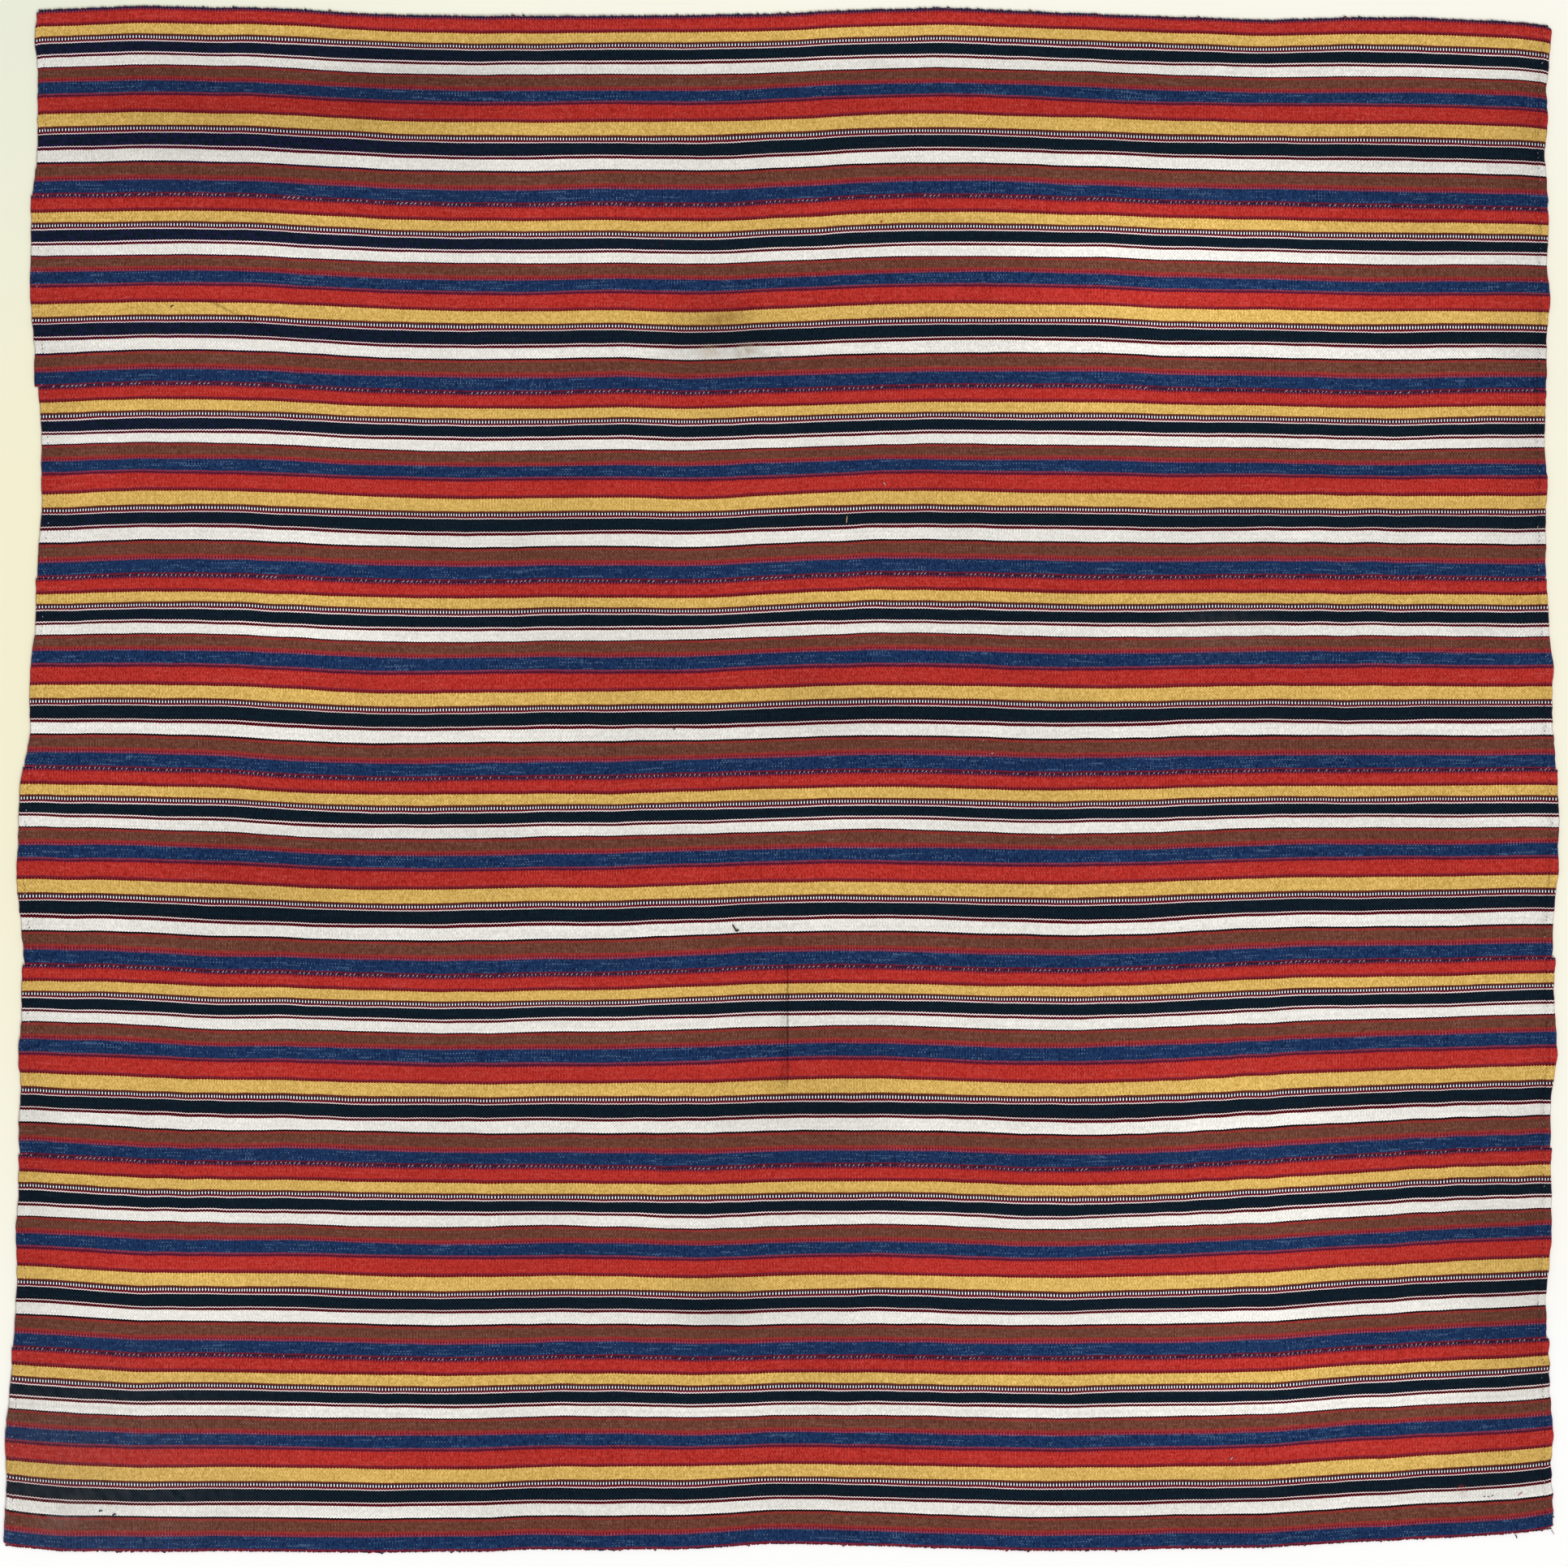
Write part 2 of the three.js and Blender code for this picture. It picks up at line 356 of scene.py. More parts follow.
def band_heights(number, x, y, inset, edge_distance, down):
    """Height of the band's upper side and underside at each point of its grid."""
    lift = cloth_lift(x, y)
    hem = 1 - smooth(inset, HEM_WIDTH, HEM_WIDTH + HEM_STEP_WIDTH)
    near_hem = np.exp(-(((inset - HEM_WIDTH) / HEM_WIDTH) ** 2))
    pucker = HEM_PUCKER * soft_noise(0.0, y, HEM_PUCKER_SIZE, 400 + number) * near_hem
    thickness = CLOTH_THICKNESS + (HEM_THICKNESS - CLOTH_THICKNESS) * hem + pucker * hem
    outer = (down < 0.5) & (number == 1) | (down > 0.5) & (number == BANDS[-1])
    thickness -= EDGE_ROLL_DROP * (1 - smooth(edge_distance, 0, EDGE_ROLL_WIDTH))
    seam_distance = np.where(outer, BAND_WIDTH, edge_distance)
    relief = cloth_relief(x, y, seam_distance) * smooth(inset, 0, RELIEF_FADE)
    side_radius = np.where(outer, ROUND_SELVEDGE, ROUND_SEAM)
    fullness = rounded(edge_distance, side_radius) * rounded(inset, HEM_THICKNESS / 2)
    half = np.maximum(thickness / 2 * fullness, EDGE_LEAST / 2)
    middle = lift + thickness / 2
    return middle + half + relief * fullness, middle - half


# Weave: the stripes that come twice in every band, from its upper edge down, with the warps of the first
# and of the second time, and the yarn, or the two yarns that show on the even and on the odd picks
WARPS = 240
HALFWAY = 112
STRIPES = [
    ("red_rim", 1.4, 1.0, "crimson"),
    ("red", 11.5, 17.3, "red"),
    ("red_rim", 0.8, 0.6, "crimson"),
    ("plum_line", 1.5, 1.6, "wine", "plum"),
    ("dark_line", 2.5, 2.7, "maroon", "rust"),
    ("yellow", 13.3, 16.1, "yellow"),
    ("rust_line", 2.5, 2.5, "umber"),
    ("ladder", 3.8, 3.7, "ladder_black"),
    ("maroon_line", 2.4, 2.6, "maroon"),
    ("white_line", 1.2, 1.2, "pink"),
    ("black_rim", 1.3, 1.3, "deep"),
    ("black", 11.0, 12.0, "black"),
    ("black_rim", 1.5, 1.3, "deep", "dark"),
    ("white_line", 1.3, 1.3, "pink"),
    ("maroon_line", 2.9, 3.4, "maroon", "dark"),
    ("white_rim", 0.7, 0.7, "bright", "cream"),
    ("white", 10.3, 13.0, "white"),
    ("white_rim", 0.7, 0.7, "bright"),
    ("black_line", 1.9, 2.5, "deep"),
    ("red_line", 2.7, 2.9, "brick"),
    ("brown", 10.0, 12.9, "brown"),
    ("red_line", 2.4, 2.8, "brick"),
    ("bead_line", 1.8, 2.0, "wine", "crimson"),
    ("bead_line", 1.9, 2.3, "plum", "mauve"),
    ("blue", 13.9, 15.6, "blue"),
]

# Stripes above, between and below them: name, warps, yarn or yarns
UPPER_EDGE = [
    ("selvedge", 1.4, "navy", "dark_plum"),
    ("selvedge", 1.6, "dark_plum", "mauve"),
]
BETWEEN = [
    ("plum_line", 2.0, "mauve", "plum"),
    ("dashed_line", 1.8, "dark_plum", "wine"),
    ("dashed_line", 0.7, "dark_plum", "wine"),
]
LOWER_EDGE = [
    ("plum_line", 1.6, "plum", "dark_plum"),
    ("selvedge", 1.7, "dark_plum", "crimson"),
]


def band_chart():
    """All stripes of a band, from its upper to its lower edge: name, warps, yarns."""
    first = [(name, count, *yarns) for name, count, _, *yarns in STRIPES]
    second = [(name, count, *yarns) for name, _, count, *yarns in STRIPES]
    return UPPER_EDGE + first + BETWEEN + second + LOWER_EDGE


LADDER_CENTRES = (38.4, 156.4)

# Where the main stripes start in the chart, and where they really start in each band, a row a band
CHART_PLACES = (21, 45, 62, 95, 112, 136, 164, 182, 222)
STRIPE_PLACES = [
    (21.1, 44.4, 62.0, 95.8, 112.4, 135.4, 164.1, 182.9, 222.5),
    (21.0, 44.6, 62.4, 97.5, 114.1, 136.6, 164.8, 183.8, 222.8),
    (20.2, 43.6, 61.4, 94.8, 111.3, 134.8, 163.0, 181.8, 221.6),
    (20.6, 43.0, 60.0, 94.0, 112.4, 135.9, 163.4, 182.8, 222.3),
    (20.2, 42.9, 59.9, 94.3, 112.6, 135.4, 163.3, 183.0, 222.6),
    (19.6, 41.5, 58.6, 94.0, 113.1, 136.4, 164.9, 184.3, 223.2),
    (20.8, 44.4, 62.0, 97.5, 114.9, 138.1, 166.6, 184.7, 222.4),
    (20.9, 44.2, 61.5, 96.9, 114.3, 137.1, 165.9, 183.9, 222.7),
]

# Yarns: their darker and lighter fibres as they look (sRGB), which also give the floats their painted
# shade and highlight, and how strongly pale weft dots and dark ticks show between them
YARNS = {
    "red": ((145, 20, 13), (206, 65, 57), 0.3, 0.1),
    "crimson": ((134, 22, 28), (176, 50, 56), 0.1, 0),
    "brick": ((118, 34, 30), (160, 62, 56), 0.1, 0),
    "wine": ((80, 12, 28), (118, 32, 50), 0.1, 0),
    "rust": ((107, 21, 14), (144, 47, 35), 0, 0),
    "umber": ((74, 24, 20), (106, 50, 40), 0, 0),
    "maroon": ((86, 1, 13), (115, 5, 27), 0, 0),
    "dark": ((34, 1, 5), (50, 4, 13), 0, 0),
    "plum": ((94, 22, 44), (132, 50, 72), 0.1, 0),
    "mauve": ((118, 44, 62), (160, 82, 104), 0, 0),
    "dark_plum": ((52, 7, 36), (80, 26, 64), 0, 0),
    "navy": ((16, 12, 39), (38, 32, 66), 0, 0),
    "yellow": ((180, 142, 58), (252, 213, 129), 0, 0.6),
    "white": ((211, 206, 197), (255, 255, 250), 0, 0.45),
    "bright": ((244, 236, 232), (255, 255, 255), 0, 0),
    "pink": ((234, 204, 202), (255, 246, 245), 0, 0),
    "cream": ((228, 214, 192), (255, 252, 240), 0, 0.2),
    "black": ((5, 15, 25), (15, 32, 44), 0.1, 0),
    "deep": ((4, 6, 11), (9, 13, 19), 0, 0),
    "ladder_black": ((11, 8, 28), (24, 21, 43), 0, 0),
    "brown": ((77, 38, 28), (126, 78, 62), 0.3, 0.1),
    "blue": ((4, 18, 52), (37, 67, 110), 0.7, 0),
}

PICK_LENGTH = 1.765
WARP_PITCH = 0.97


def linear(colour):
    """Scene-linear colour with alpha, from one that is written as it looks on a screen, 0 to 255."""
    steps = [c / 255 for c in colour]
    return [c / 12.92 if c <= 0.04045 else ((c + 0.055) / 1.055) ** 2.4 for c in steps] + [1.0]


class Graph:
    """A material's nodes, with short calls for the sums that a weave needs."""

    def __init__(self, name):
        self.material = bpy.data.materials.new(name)
        self.material.use_nodes = True
        tree = self.material.node_tree
        self.nodes, self.links = tree.nodes, tree.links
        self.shader = self.nodes["Principled BSDF"]

    def node(self, kind, inputs=(), **settings):
        made = self.nodes.new("ShaderNode" + kind)
        for key, value in settings.items():
            setattr(made, key, value)
        for key, value in dict(inputs).items():
            self.put(made.inputs[key], value)
        return made

    def put(self, socket, value):
        if isinstance(value, Value):
            self.links.new(value.socket, socket)
        elif isinstance(value, bpy.types.NodeSocket):
            self.links.new(value, socket)
        else:
            socket.default_value = value

    def sum(self, operation, *values, clamp=False):
        made = self.node("Math", enumerate(values), operation=operation, use_clamp=clamp)
        return Value(self, made.outputs[0])

    def vector(self, x, y, z):
        return self.node("CombineXYZ", {"X": x, "Y": y, "Z": z}).outputs[0]

    def noise(self, x, y, z, detail=1.0):
        """Soft noise from 0 to 1 at a place where one unit is one blob."""
        inputs = {"Vector": self.vector(x, y, z), "Scale": 1.0, "Detail": detail}
        return Value(self, self.node("TexNoise", inputs).outputs["Fac"])

    def speck(self, x, y, z):
        """A different number from 0 to 1 for each whole x, y and z."""
        made = self.node("TexWhiteNoise", {"Vector": self.vector(x, y, z)})
        return Value(self, made.outputs["Value"])

    def step(self, value, low, high):
        """0 below low, 1 above high, smooth between."""
        inputs = {"Value": value, "From Min": low, "From Max": high}
        made = self.node("MapRange", inputs, interpolation_type="SMOOTHSTEP")
        return Value(self, made.outputs[0])

    def ramp(self, stops, at):
        """Stripes of plain colour. Stops are (place from 0 to 1, colour)."""
        made = self.node("ValToRGB", {"Fac": at})
        made.color_ramp.interpolation = "CONSTANT"
        elements = made.color_ramp.elements
        elements.remove(elements[1])
        elements[0].position, elements[0].color = stops[0]
        for place, colour in stops[1:]:
            elements.new(place).color = colour
        return made.outputs["Color"]

    def mix(self, factor, a, b, blend="MIX"):
        made = self.node("Mix", {0: factor, 6: a, 7: b}, data_type="RGBA", blend_type=blend)
        return made.outputs[2]

    def shaded(self, colour, shade):
        return self.mix(1.0, colour, self.vector(shade, shade, shade), "MULTIPLY")

    def surface(self, **inputs):
        for key, value in inputs.items():
            self.put(self.shader.inputs[key.replace("_", " ")], value)

    def gamma(self, colour, power):
        """The same hue, lighter for a power below one."""
        return self.node("Gamma", {"Color": colour, "Gamma": power}).outputs[0]

    def brightness(self, colour):
        return Value(self, self.node("RGBToBW", {"Color": colour}).outputs[0])

    def attribute(self, name):
        return self.node("Attribute", attribute_name=name)

    def split(self, vector):
        made = self.node("SeparateXYZ", {"Vector": vector})
        return [Value(self, socket) for socket in made.outputs]


class Value:
    """A number on a socket of a graph, so that sums read as they do in Python."""

    def __init__(self, graph, socket):
        self.graph, self.socket = graph, socket

    def __add__(self, other):
        return self.graph.sum("ADD", self, other)

    def __sub__(self, other):
        return self.graph.sum("SUBTRACT", self, other)

    def __rsub__(self, other):
        return self.graph.sum("SUBTRACT", other, self)

    def __mul__(self, other):
        return self.graph.sum("MULTIPLY", self, other)

    def __truediv__(self, other):
        return self.graph.sum("DIVIDE", self, other)

    __radd__ = __add__
    __rmul__ = __mul__

    def floor(self):
        return self.graph.sum("FLOOR", self)

    def abs(self):
        return self.graph.sum("ABSOLUTE", self)

    def power(self, exponent):
        return self.graph.sum("POWER", self, exponent)


def weft_of(yarn):
    """How strongly the weft's pale dots and dark ticks show, as the channels of a colour."""
    return [*yarn[2:], 0, 1]


def chart_stops(first, last, pick, value_of):
    """Ramp stops for the warps from first to last, for the yarns of the even (0) or odd (1) picks."""
    stops = []
    start = 0.0
    for _, count, *yarns in band_chart():
        value = value_of(YARNS[yarns[pick % len(yarns)]])
        if first <= start < last and (not stops or stops[-1][1] != value):
            stops.append(((start - first) / (last - first), value))
        start = round(start + count, 2)
    return stops


def chart_lookup(graph, place, pick, value_of):
    """Colour or traits of the yarn at a place, from two ramps that share the band's chart."""
    early = graph.ramp(chart_stops(0, HALFWAY, pick, value_of), place / HALFWAY)
    late = graph.ramp(chart_stops(HALFWAY, WARPS, pick, value_of), (place - HALFWAY) / (WARPS - HALFWAY))
    return graph.mix(graph.sum("GREATER_THAN", place, HALFWAY), early, late)


# Sharp creases where the cloth was folded, each painted as a soft line of shade: name, x and y of both
# ends, half width, tone of the painted shade
CREASES = [
    ("fold_low", 8, -215, 8, -385, 2.4, -0.55),
    ("fold_low_shade", 3, -250, 2, -390, 8.0, -0.18),
    ("fold_middle", 24, 400, 23, 60, 1.6, -0.10),
    ("fold_high", 27, 720, 26, 600, 1.6, -0.12),
    ("left_crease", -712, 593, -606, 540, 2.8, -0.42),
    ("right_crease", 606, -140, 640, -82, 2.0, -0.12),
]


def crease_painted_shade(g, x, y):
    """Sum of the creases' painted shade at a place, each one a soft line that fades at its ends."""
    total = 0.0
    for _, x0, y0, x1, y1, half_width, tone in CREASES:
        length = math.hypot(x1 - x0, y1 - y0)
        c, s = (x1 - x0) / length, (y1 - y0) / length
        across = ((y - y0) * c - (x - x0) * s).abs()
        middle = ((x - (x0 + x1) / 2) * c + (y - (y0 + y1) / 2) * s).abs()
        line = 1 - g.step(across, 0.0, half_width)
        fade = 1 - g.step(middle, length * 0.36, length * 0.5)
        total = line * fade * tone + total
    return total


# Unevenness of the weave: how far it goes, in millimetres or warps, and the size of its waves
PICK_SWAY, PICK_SWAY_SIZE = 7.0, 46
PICK_SLANT, PICK_SLANT_SIZE = 0.06, 160
WARP_DRIFT, WARP_DRIFT_LENGTH, WARP_DRIFT_WIDTH = 5.0, 210, 34
WARP_WANDER, WARP_WANDER_LENGTH, WARP_WANDER_WIDTH = 0.8, 19, 9
EDGE_HOLD = 8.0

# White rungs of the ladder: how much they narrow away from its middle, and where they end
RUNG_ROUNDING = 0.14
RUNG_EDGES = (0.2, 0.56)
RUNG_ENDS = (1.45, 2.0)

# How strongly each unevenness of the yarn shows, with the painted highlight on the floats' crowns and
# the painted shade in the gaps between them
WARP_TONE = 0.08
STREAK_TONE = 0.16
FLOAT_GRAIN = 0.54
PICK_GRAIN = 0.10
ROW_GRAIN = 2.7
RAIN_GRAIN = 0.88
CROWN_HIGHLIGHT = 0.5
GAP_SHADE = 0.22
SCALLOP = 0.8
BUMP_DISTANCE = 0.0004

# Sizes of the yarn's unevenness along and across the warps, and of the patches where the floats' painted
# highlight is stronger
ROW_SIZES = (34, 1.5)
CROWN_HIGHLIGHT_SIZES = (14, 12)
RAIN_WIDTH = 3.6
STREAK_LENGTH = 190
BLOTCH_SIZES = (5, 4)

# Weft between two warps: the rim of a dot, the length of a run of dots, from what level on dots and
# ticks show, and the gamma that sets them apart from the yarn
DOT_RIM = (0.35, 0.9)
DOT_RUN = 30
DOT_LEVELS, DOT_GAMMA = (0.77, 0.92), 0.45
TICK_LEVELS, TICK_GAMMA = (0.34, 0.72), 1.4
BLACK_LEVELS = (0.006, 0.02)
BLOTCH_LEVELS = (0.44, 0.58)


def woven_material():
    """Warp-faced plain weave: even and odd warps rise on alternate picks and hide the weft."""
    g = Graph("striped_wool")
    u, v, band = g.split(g.attribute("weave").outputs["Vector"])
    tone, purple, dirt = g.split(g.attribute("tone").outputs["Vector"])
    spot_x, spot_y, _ = g.split(g.node("TexCoord").outputs["Object"])
    spot_x, spot_y = spot_x / MM + MIDDLE[0], spot_y / MM + MIDDLE[1]

    # Picks a little uneven and slanting, and warps that wander a little
    sway = (g.noise(u / PICK_SWAY_SIZE, band * 7.7, 0.5) - 0.5) * PICK_SWAY
    slant = (g.noise(u / PICK_SLANT_SIZE, band * 3.1, 4.5) - 0.5) * PICK_SLANT
    pick_place = (u + sway + slant * (v - WARPS / 2)) / PICK_LENGTH
    pick = pick_place.floor()
    parity = g.sum("FLOORED_MODULO", pick, 2.0)
    inside = 1 - ((v - WARPS / 2) / (WARPS / 2)).abs().power(EDGE_HOLD)
    drift = g.noise(u / WARP_DRIFT_LENGTH, v / WARP_DRIFT_WIDTH, band * 5.3)
    drift = (drift - 0.5) * WARP_DRIFT
    wander = g.noise(u / WARP_WANDER_LENGTH, v / WARP_WANDER_WIDTH, band * 5.3 + 2)
    wander = (wander - 0.5) * WARP_WANDER
    place = v + (drift + wander) * inside
    warp = ((place + 0.5 - parity) / 2).floor() * 2 + parity
    across = (place - warp - 0.5) / 2
    along = pick_place - pick - 0.5
    along_arch = 1 - (along * 2).power(2.0)
    across_arch = 1 - (across * 2).power(2.0)

    # Yarn colour, with the scalloped edge that the floats give each stripe
    scalloped = place + (parity - 0.5) * along_arch * SCALLOP
    shades = []
    for fibres in (0, 1):
        even = chart_lookup(g, scalloped, 0, lambda yarn: linear(yarn[fibres]))
        odd = chart_lookup(g, scalloped, 1, lambda yarn: linear(yarn[fibres]))
        shades.append(g.mix(parity, even, odd))
    dots, ticks, _ = g.split(chart_lookup(g, scalloped, 0, weft_of))

    # Ladder of white rungs in the two narrow black lines
    wave = g.sum("SINE", pick_place * math.pi)
    centre = sum(LADDER_CENTRES) / 2
    from_ladder = ((scalloped - centre).abs() - (LADDER_CENTRES[1] - centre)).abs()
    rung = g.step(wave - from_ladder * from_ladder * RUNG_ROUNDING, *RUNG_EDGES)
    rung = rung * (1 - g.step(from_ladder, *RUNG_ENDS))
    low, high = (g.mix(rung, yarn, linear(c)) for yarn, c in zip(shades, YARNS["bright"]))

    # Grain and painted light: lighter and darker fibres from float to float and from pick to pick, a
    # painted highlight over the floats' crowns and painted shade in the gaps between them
    mixed = g.speck(warp, pick, band) - 0.5
    pick_rows = (g.noise(u / ROW_SIZES[0], v / ROW_SIZES[1], band * 2.9) - 0.5) * ROW_GRAIN
    pick_grain = (parity - 0.5) * (pick_rows + PICK_GRAIN)
    rain = g.noise(pick * 0.8, place / RAIN_WIDTH, band * 8.3 + 11)
    crown_highlight_patch = g.noise(u / CROWN_HIGHLIGHT_SIZES[0], v / CROWN_HIGHLIGHT_SIZES[1], band * 8.3) * 1.2 + 0.2
    crown_highlight = (along_arch * across_arch - 0.42) * crown_highlight_patch * CROWN_HIGHLIGHT
    gap_shade = (across.abs() * 2).power(4.0) * 0.4 + (along.abs() * 2).power(3.0) * 0.5
    grain_and_painted_light = 0.5 + mixed * FLOAT_GRAIN + pick_grain + (rain - 0.5) * RAIN_GRAIN + crown_highlight - gap_shade * GAP_SHADE
    yarn = g.mix(g.sum("MAXIMUM", grain_and_painted_light, 0.0), low, high)

    # Tone of each warp, its slow change along the band, and the tones of the cloth with their painted
    # shade and light, and the painted shade along the creases
    warp_tone = (g.speck(warp, band, 1.0) - 0.5) * WARP_TONE
    streak = g.noise(u / STREAK_LENGTH, warp * 1.37, band * 11.0, detail=2.0)
    streak = (streak - 0.5) * STREAK_TONE * 2
    shade = (1 + warp_tone + streak) * (1 + tone + crease_painted_shade(g, spot_x, spot_y))
    fibrous = g.shaded(yarn, shade)

    # Weft that shows between two warps, as pale dots in dark stripes and dark ticks in light ones
    dot_x = along * PICK_LENGTH
    dot_y = (across.abs() - 0.5) * 2 * WARP_PITCH
    distance = (dot_x * dot_x + dot_y * dot_y).power(0.5)
    spot = 1 - g.step(distance, *DOT_RIM)
    row = ((place + 1.5 - parity) / 2).floor() * 2 + parity
    in_row = g.noise(u / DOT_RUN, row * 3.37 + band * 19, 2.5)
    level = in_row * 1.05 + rain * 0.18 + g.speck(row, pick, band + 20.5) * 0.14
    seen = g.step(level, *DOT_LEVELS)
    dotted = g.mix(spot * seen * dots, fibrous, g.gamma(high, DOT_GAMMA))
    worn = g.step(rain * 0.6 + g.speck(row, pick, band + 3.5) * 0.4, *TICK_LEVELS)
    ticked = g.mix(spot * worn * ticks, dotted, g.gamma(low, TICK_GAMMA))

    # Purple cast of the darker yarns near one corner, then dust and stains
    blackness = 1 - g.step(g.brightness(low), *BLACK_LEVELS)
    blotch = g.noise(u / BLOTCH_SIZES[0], v / BLOTCH_SIZES[1], band * 1.9, detail=3.0)
    blotch = g.step(blotch, *BLOTCH_LEVELS) * purple * blackness
    cast = g.mix(blotch, ticked, linear(PURPLE), "LIGHTEN")
    soiled = g.mix(dirt, cast, g.attribute("stain").outputs["Color"])
    g.surface(Base_Color=soiled)

    # Relief of the floats and their fibres
    fibre = g.noise(u * 1.3, v * 4.0, band, detail=2.0)
    height = (0.2 + across_arch * 0.8) * (0.45 + along_arch * 0.55) + fibre * 0.35
    bump = g.node("Bump", {"Strength": 0.6, "Distance": BUMP_DISTANCE, "Height": height})
    g.surface(Normal=bump.outputs["Normal"], Roughness=0.82 + fibre * 0.25, Specular_IOR_Level=0.06)
    g.surface(Sheen_Weight=0.01, Sheen_Roughness=0.6)
    return g.material


# Thread: waves of its darker fibres a metre, and how much these and its twist vary the tone
THREAD_WAVES = 260
THREAD_VARIATION = 0.35
THREAD_TWIST = 0.3


def thread_material(name, colour):
    """Twisted wool thread of one colour, with darker and lighter fibres."""
    g = Graph(name)
    x, y, z = g.split(g.node("TexCoord").outputs["Object"])
    blotch = g.noise(*(part * THREAD_WAVES for part in (x, y, z)), detail=2.0)
    twist = g.noise(x * 1400 + y * 900, y * 1400 - x * 700, z * 1200)
    shade = 1 + (blotch - 0.5) * THREAD_VARIATION * 2 + (twist - 0.5) * THREAD_TWIST
    g.surface(Base_Color=g.shaded(linear(colour), shade))
    bump = g.node("Bump", {"Strength": 0.4, "Distance": 0.0002, "Height": twist})
    g.surface(Normal=bump.outputs["Normal"], Roughness=0.8 + twist * 0.2, Specular_IOR_Level=0.25)
    return g.material


# Stains: name, x, y, half length, half width, turn, strength, colour
STAINS = [
    ("beige_stain", -42, 527, 26, 12, 20, 0.70, (160, 146, 124)),
    ("beige_stain_left", -88, 526, 20, 11, 0, 0.50, (178, 150, 120)),
    ("grey_stain", -12, 523, 50, 8, 0, 0.22, (130, 126, 128)),
    ("brown_stain", -72, 567, 42, 10, 8, 0.65, (132, 92, 48)),
    ("red_smudge", 838, -876, 12, 10, 30, 0.22, (150, 60, 60)),
    ("grey_dust_left", -880, -905, 60, 30, 10, 0.12, (150, 145, 140)),
    ("grey_dust_low", 540, 180, 120, 40, 0, 0.05, (190, 180, 170)),
    ("low_left_haze", -860, -860, 340, 230, 0, 0.03, (190, 185, 182)),
]

# Where the dark yarns have a purple cast: name, x, y, half length, half width, turn, strength
PURPLE = (26, 5, 58)
PURPLE_CAST = [
    ("top_left", -800, 760, 900, 420, -12, 0.9),
    ("left", -860, 420, 420, 300, 0, 0.5),
]

# Weft that shows where the cloth turns over at its ends
END_TINT = (112, 50, 80)
END_TINT_STRENGTH = 0.5

# Slow changes of tone over the cloth with their sizes, the shade near its ends, and the bake's margin
CLOUD_TONE, CLOUD_SIZE = 0.018, 260
PATCH_TONE, PATCH_SIZE = 0.014, 90
END_SHADE, END_SHADE_REACH = 0.05, (8, 45)
BAKE_MARGIN = 0.004


def set_attribute(mesh, name, values):
    """Stores vectors or colours on the points of a band's upper side, and the same on its underside."""
    kind, key = ("FLOAT_COLOR", "color") if values.shape[-1] == 4 else ("FLOAT_VECTOR", "vector")
    made = mesh.attributes.new(name, kind, "POINT")
    made.data.foreach_set(key, np.concatenate([values, values]).astype(np.float32).ravel())


def band_traits(number, x, y, inset):
    """Tone with its painted shade and light, purple cast, soiling and its colour at each point of a band.
    """
    # Painted shade and light of the cloth, from the tone patches
    tone = oval_bumps(TONE_PATCHES, x, y)
    cloud = CLOUD_TONE * soft_noise(x, y, CLOUD_SIZE, 31)
    tone += cloud + PATCH_TONE * soft_noise(x, y * 2.2, PATCH_SIZE, 32 + number)
    tone -= END_SHADE * (1 - smooth(inset, *END_SHADE_REACH))
    purple = oval_bumps(PURPLE_CAST, x, y)
    colour, weight = np.zeros(x.shape + (4,)), np.zeros(x.shape)
    for *oval, stain in STAINS:
        bump = oval_bumps([oval], x, y)
        bump *= np.clip(0.8 + 0.35 * soft_noise(x, y, 9, 51), 0, 1.3)
        colour += bump[..., None] * np.array(linear(stain))
        weight += bump
    turned = END_TINT_STRENGTH * (1 - smooth(inset, 0.5, 1.9))
    colour += turned[..., None] * np.array(linear(END_TINT))
    weight += turned
    colour /= np.maximum(weight, 1e-6)[..., None]
    return tone, purple, weight, colour


def bake_map(mesh, columns, rows):
    """UV map for the export: each side of the band as two strips of even scale, one above another."""
    layer = mesh.uv_layers.new(name="OFBake")
    corner_vertex = np.zeros(len(mesh.loops), int)
    mesh.loops.foreach_get("vertex_index", corner_vertex)
    starts = np.zeros(len(mesh.polygons), int)
    mesh.polygons.foreach_get("loop_start", starts)
    sheet = columns * rows
    side = corner_vertex // sheet
    column = corner_vertex % sheet // rows
    row = corner_vertex % rows
    face = np.repeat(np.arange(len(starts)), 4)
    half = columns // 2
    first_column = np.minimum.reduceat(column, starts)[face]
    face_side = side[starts][face]
    strip = (first_column >= half).astype(int)
    u = (column - strip * half) / max(half, columns - 1 - half)
    is_rim = np.add.reduceat(side, starts)[face] % 4 != 0
    v = (row / (rows - 1) * (1 - 8 * BAKE_MARGIN) + 4 * BAKE_MARGIN + strip + 2 * face_side) / 4
    v = np.where(is_rim & (side != face_side), v + BAKE_MARGIN, v)
    u = BAKE_MARGIN + u * (1 - 2 * BAKE_MARGIN)
    layer.data.foreach_set("uv", np.stack([u, v], -1).astype(np.float32).ravel())


